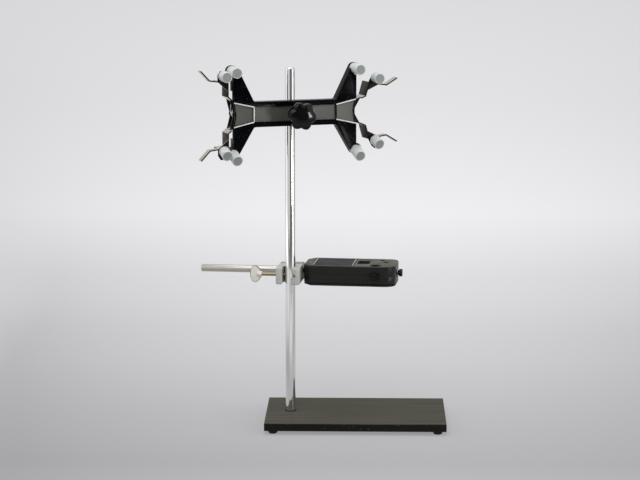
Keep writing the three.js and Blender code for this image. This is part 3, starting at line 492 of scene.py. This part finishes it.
# torsion springs behind the pivots
spring = {"wire": 0.6, "wireSides": 10, "mean": 3.6, "start": -11.1, "pitch": 2, "curls": 4, "leg": 11.9,
          "steps": 28, "apart": 0.001, "sharpFrom": 50}
for side, tag in ((-1, "left"), (1, "right")):
    openTurn = math.radians(jaws["open"]) if side > 0 else 0
    sweep = spring["curls"] * 2 * math.pi - 2 * openTurn
    steps = int(spring["curls"] * spring["steps"])
    bm = bmesh.new()
    bmesh.ops.create_circle(bm, cap_ends=True, radius=spring["wire"] * mm, segments=spring["wireSides"])
    leg = bmesh.ops.extrude_face_region(bm, geom=list(bm.faces))
    bmesh.ops.translate(bm, verts=onlyVerts(leg), vec=(0, 0, -spring["leg"] * mm))
    place(bm, moveBy(spring["mean"], spring["start"], spring["leg"]))
    tip = min(bm.faces, key=lambda f: f.calc_center_median().z)
    coil = bmesh.ops.spin(bm, geom=[tip], cent=(0, 0, 0), axis=(0, 1, 0), angle=sweep, steps=steps,
                          dvec=(0, spring["pitch"] * spring["curls"] / steps * mm, 0))
    lastFace = [g for g in coil["geom_last"] if isinstance(g, bmesh.types.BMFace)][0]
    run = lastFace.normal.copy()
    grown = bmesh.ops.extrude_face_region(bm, geom=[lastFace])
    bmesh.ops.translate(bm, verts=onlyVerts(grown), vec=run * spring["leg"] * mm)
    bmesh.ops.remove_doubles(bm, verts=bm.verts, dist=spring["apart"] * mm)
    if side < 0:
        place(bm, Matrix.Scale(-1, 4, (1, 0, 0)))
    bmesh.ops.recalc_face_normals(bm, faces=bm.faces)
    place(bm, jawPlace(side, side))
    addPiece("closingSpring_" + tag, bm, [finish["zincScrew"]], "clamp",
             ["jaw_spring_" + tag], smooth=spring["sharpFrom"])
print("springs wound")

# boss head, with painted shade at the bottom of the slot between its two blocks
bossHead = {"slotFrom": 5, "slotTo": 15, "facing": -0.9, "edge": 0.5}
bm = mergedCopy("boss_head")
for face in bm.faces:
    depth = face.calc_center_median().y / mm
    if face.normal.y < bossHead["facing"] and bossHead["slotFrom"] < depth < bossHead["slotTo"]:
        face.material_index = 1
addPiece("bossCasting", bm, [finish["castGrey"], finish["castShade"]], "boss", ["boss_head"],
         softEdge=bossHead["edge"])

# each wing is a flat drop with rounded edges, on a hub that narrows to a nose
wing = {"across": 10.9, "half": 7.8, "middle": 3.8, "taper": 0.5, "fullest": 0.862, "thick": 3.8,
        "edge": 1.3, "edgeRings": 4, "sides": 48, "hubStart": 3.4, "hubWide": 4.1, "hubTip": 0.9,
        "hubRise": 3.6, "noseRise": 6, "hubSides": 32, "rimFacing": 0.85, "sharpFrom": 40}
wingScrews = {
    "side": {"length": 33, "tip": (-7.25, 0, 177.1), "toward": (-1, 0, 0), "roll": 0},
    "back": {"length": 19, "tip": (-1, 33.06, 178.3), "toward": (0, 1, 0), "roll": 0.6},
}
for tag, screw in wingScrews.items():
    bm = bmesh.new()
    made = bmesh.ops.create_circle(bm, cap_ends=True, radius=1, segments=wing["sides"])
    for v in made["verts"]:
        # the drop's point lies at angle 0
        angle = math.atan2(v.co.y, v.co.x) % (2 * math.pi)
        across = math.sin(angle) * math.sin(angle / 2) ** wing["taper"] / wing["fullest"]
        v.co = Vector((across * wing["across"] * mm, -math.cos(angle) * wing["half"] * mm, 0))
    grown = bmesh.ops.extrude_face_region(bm, geom=list(bm.faces))
    bmesh.ops.translate(bm, verts=onlyVerts(grown), vec=(0, 0, wing["thick"] * mm))
    bmesh.ops.recalc_face_normals(bm, faces=bm.faces)
    bevelRim(bm, wing["thick"], wing["edge"], wing["edgeRings"])
    bevelRim(bm, 0, wing["edge"], wing["edgeRings"])
    # faces turned sideways take the darker brass as painted shade
    for face in bm.faces:
        face.material_index = 1 if abs(face.normal.z) < wing["rimFacing"] else 0
    place(bm, moveBy(0, 0, -wing["thick"] / 2))
    # the flat drop lies in x and y: stand it along the screw
    length = screw["length"]
    hubLow = length - wing["hubRise"]
    place(bm, moveBy(0, 0, length + wing["middle"]) @ Matrix.Rotation(math.pi / 2, 4, "X"))
    addCone(bm, hubLow, wing["hubStart"], wing["hubWide"], wing["hubRise"], wing["hubSides"])
    addCone(bm, length, wing["hubWide"], wing["hubTip"], wing["noseRise"], wing["hubSides"])
    place(bm, bossPlace @ moveBy(*screw["tip"]) @ pointAlong(screw["toward"])
          @ Matrix.Rotation(screw["roll"], 4, "Z"))
    addPiece("wing_" + tag, bm, [finish["platedBrass"], finish["brassRimShade"]], "boss_" + tag + "_handle",
             ["boss_" + tag + "_wing"], smooth=wing["sharpFrom"])
print("boss head dressed")

# probe holder arm
arm = {"topFacing": 0.9, "edge": 0.35, "coverEdge": 0.3, "frontKnobEdge": 0.2, "endKnobEdge": 0.15,
       "knobRings": 2}
bm = mergedCopy("arm_body")
# upward faces take the lighter moulding as painted light from above
for face in bm.faces:
    face.material_index = 1 if face.normal.z > arm["topFacing"] else 0
addPiece("armShell", bm, [finish["blackMoulding"], finish["mouldingTopLit"]], "arm",
         ["arm_body"], softEdge=arm["edge"])
addPiece("armCover", mergedCopy("arm_bottom_cover"), [finish["blackMoulding"]], "arm",
         ["arm_bottom_cover"], softEdge=arm["coverEdge"])
addPiece("armFrontKnob", mergedCopy("arm_front_knob"), [finish["smallKnobs"]], "arm_front_handle",
         ["arm_front_knob"], softEdge=arm["frontKnobEdge"], rings=arm["knobRings"])
addPiece("armEndKnob", mergedCopy("arm_end_knob"), [finish["smallKnobs"]], "arm_end_handle",
         ["arm_end_knob"], softEdge=arm["endKnobEdge"], rings=arm["knobRings"])

# the two plain border lines of the blank panel
panel = {"left": 28.6, "right": 78.4, "front": 4.2, "back": 52.3, "line": 0.8, "thick": 0.12,
         "top": 189.66}
for name, x in (("panelLineLeft", panel["left"]), ("panelLineRight", panel["right"])):
    bm = bmesh.new()
    bmesh.ops.create_cube(bm, size=1)
    size = Vector((panel["line"], panel["back"] - panel["front"], panel["thick"]))
    bmesh.ops.scale(bm, verts=bm.verts, vec=size * mm)
    place(bm, bossPlace @ moveBy(x, (panel["back"] + panel["front"]) / 2, panel["top"]))
    addPiece(name, bm, [finish["panelInk"]], "arm")
print("arm dressed")

# floor and wall in one sweep, lit partly by its own glow so that it stays pale behind the dark object
backdrop = {"wallY": 0.95, "bend": 0.32, "front": -2, "half": 4, "height": 4, "bendSteps": 12,
            "paint": (0.24, 0.236, 0.243), "glowTint": (0.985, 0.98, 1), "rough": 0.9, "sheenLevel": 0.1,
            "runStart": -2, "runEnd": 1.6, "brightX": 0.07, "fallOff": 3.4, "leastGlow": 0.68,
            "leftCard": -0.46, "cardFade": 4, "cardLow": 8, "cardGlow": 0.22}
# how strongly the paper glows at each distance along the sweep
glowAlong = {-2: 0.4, -1: 0.56, -0.62: 0.58, -0.36: 0.3, -0.2: 0.25, 0.36: 0.445, 0.85: 0.565, 1.03: 0.69,
             1.34: 0.59, 1.6: 0.49}
path = [(backdrop["front"], 0)]
for i in range(backdrop["bendSteps"] + 1):
    angle = math.pi / 2 * i / backdrop["bendSteps"]
    y = backdrop["wallY"] - backdrop["bend"] * (1 - math.sin(angle))
    path.append((y, backdrop["bend"] * (1 - math.cos(angle))))
path.append((backdrop["wallY"], backdrop["height"]))
bm = bmesh.new()
row = [bm.verts.new((-backdrop["half"], y, z)) for y, z in path]
edges = [bm.edges.new((row[i], row[i + 1])) for i in range(len(row) - 1)]
grown = bmesh.ops.extrude_edge_only(bm, edges=edges)
bmesh.ops.translate(bm, verts=onlyVerts(grown), vec=(2 * backdrop["half"], 0, 0))
bmesh.ops.recalc_face_normals(bm, faces=bm.faces)
# the paper's front is up and toward the camera
largest = max(bm.faces, key=lambda f: f.calc_area())
if largest.normal.y > 0 or bm.faces[0].normal.z < 0:
    bmesh.ops.reverse_faces(bm, faces=bm.faces)
sweepMesh = bpy.data.meshes.new("paperSweep")
bm.to_mesh(sweepMesh)
bm.free()
paper = bpy.data.objects.new("paperSweep", sweepMesh)
scene.collection.objects.link(paper)
for face in sweepMesh.polygons:
    face.use_smooth = True

paperMat, tree, shader = newFinish("palePaper")
shader.inputs["Roughness"].default_value = backdrop["rough"]
shader.inputs["Specular IOR Level"].default_value = backdrop["sheenLevel"]
shader.inputs["Base Color"].default_value = (*backdrop["paint"], 1)
shader.inputs["Emission Color"].default_value = (*backdrop["glowTint"], 1)


def numbers(kind, first, second, clamp=False):
    node = tree.nodes.new("ShaderNodeMath")
    node.operation = kind
    node.use_clamp = clamp
    for socket, value in ((node.inputs[0], first), (node.inputs[1], second)):
        if isinstance(value, (int, float)):
            socket.default_value = value
        else:
            tree.links.new(value, socket)
    return node.outputs["Value"]


whereOn = tree.nodes.new("ShaderNodeTexCoord")
split = tree.nodes.new("ShaderNodeSeparateXYZ")
tree.links.new(whereOn.outputs["Object"], split.inputs["Vector"])
# along the sweep: from the front of the floor, round the bend and up the wall
along = numbers("ADD", split.outputs["Y"], split.outputs["Z"])
run = backdrop["runEnd"] - backdrop["runStart"]
share = numbers("DIVIDE", numbers("SUBTRACT", along, backdrop["runStart"]), run, True)
ramp = tree.nodes.new("ShaderNodeValToRGB")
stops = ramp.color_ramp.elements
for i, (at, level) in enumerate(glowAlong.items()):
    spot = (at - backdrop["runStart"]) / run
    stop = stops[i] if i < 2 else stops.new(spot)
    stop.position = spot
    stop.color = (level, level, level, 1)
tree.links.new(share, ramp.inputs["Fac"])
# it falls off to both sides, most of all at the front of the floor
off = numbers("SUBTRACT", split.outputs["X"], backdrop["brightX"])
onFloor = numbers("SUBTRACT", 1, share)
steep = numbers("MULTIPLY", onFloor, backdrop["fallOff"])
offSquared = numbers("MULTIPLY", off, off)
falling = numbers("SUBTRACT", 1, numbers("MULTIPLY", offSquared, steep))
falling = numbers("MAXIMUM", falling, backdrop["leastGlow"])
# brighter again low down and to the left of the picture, where only the rods mirror it
toLeft = numbers("SUBTRACT", backdrop["leftCard"], split.outputs["X"])
card = numbers("MULTIPLY", toLeft, backdrop["cardFade"], True)
low = numbers("SUBTRACT", 1, numbers("MULTIPLY", split.outputs["Z"], backdrop["cardLow"]), True)
card = numbers("MULTIPLY", numbers("MULTIPLY", card, low), backdrop["cardGlow"])
# only the camera, mirrors and clear things see the glow: it lights nothing
seen = tree.nodes.new("ShaderNodeLightPath")
rays = numbers("ADD", seen.outputs["Is Camera Ray"], seen.outputs["Is Glossy Ray"])
rays = numbers("ADD", rays, seen.outputs["Is Transmission Ray"], True)
glow = numbers("ADD", numbers("MULTIPLY", ramp.outputs["Color"], falling), card)
glow = numbers("MULTIPLY", glow, rays)
tree.links.new(glow, shader.inputs["Emission Strength"])
# from behind, the paper is clear, so that the back of the stand can be looked at too
facing = tree.nodes.new("ShaderNodeNewGeometry")
clear = tree.nodes.new("ShaderNodeBsdfTransparent")
either = tree.nodes.new("ShaderNodeMixShader")
tree.links.new(facing.outputs["Backfacing"], either.inputs[0])
tree.links.new(shader.outputs["BSDF"], either.inputs[1])
tree.links.new(clear.outputs["BSDF"], either.inputs[2])
tree.links.new(either.outputs["Shader"], tree.nodes["Material Output"].inputs["Surface"])
sweepMesh.materials.append(paperMat)

# a faint even light, then lamps: soft boxes at both sides and at the front left, one straight above,
# one high in front, and a small key from the front right
studio = {"colour": (0.95, 0.95, 1, 1), "strength": 0.16}
world = bpy.data.worlds.new("studio")
world.use_nodes = True
background = world.node_tree.nodes["Background"]
background.inputs["Color"].default_value = studio["colour"]
background.inputs["Strength"].default_value = studio["strength"]
scene.world = world
lamps = {
    "tallLeft": {"at": (-1.24, -0.12, 0.75), "aim": (-0.04, 0, 0.35), "size": (1.4, 1.5), "power": 5.6},
    "fillLeft": {"at": (-1, -1.8, 0.9), "aim": (-0.04, 0, 0.35), "size": (1.7, 1.7), "power": 4.8},
    "tallRight": {"at": (1.15, -0.45, 0.75), "aim": (-0.04, 0, 0.35), "size": (1.1, 1.5), "power": 5.2},
    "softTop": {"at": (0, 0.1, 1.75), "aim": (0, 0.05, 0), "size": (1.5, 1.1), "power": 10},
    "highFront": {"at": (-0.3, -1.5, 1.9), "aim": (-0.04, 0, 0.3), "size": (1.2, 1.2), "power": 14},
    "smallKey": {"at": (0.94, -0.77, 0.32), "aim": (-0.02, -0.05, 0.4), "size": (0.26, 0.16), "power": 2.6},
}
for name, lamp in lamps.items():
    data = bpy.data.lights.new(name, "AREA")
    data.shape = "RECTANGLE"
    data.energy = lamp["power"]
    data.size, data.size_y = lamp["size"]
    obj = bpy.data.objects.new(name, data)
    scene.collection.objects.link(obj)
    obj.location = lamp["at"]
    aim = Vector(lamp["aim"]) - Vector(lamp["at"])
    obj.rotation_euler = aim.to_track_quat("-Z", "Y").to_euler()
print("stage and lamps set")
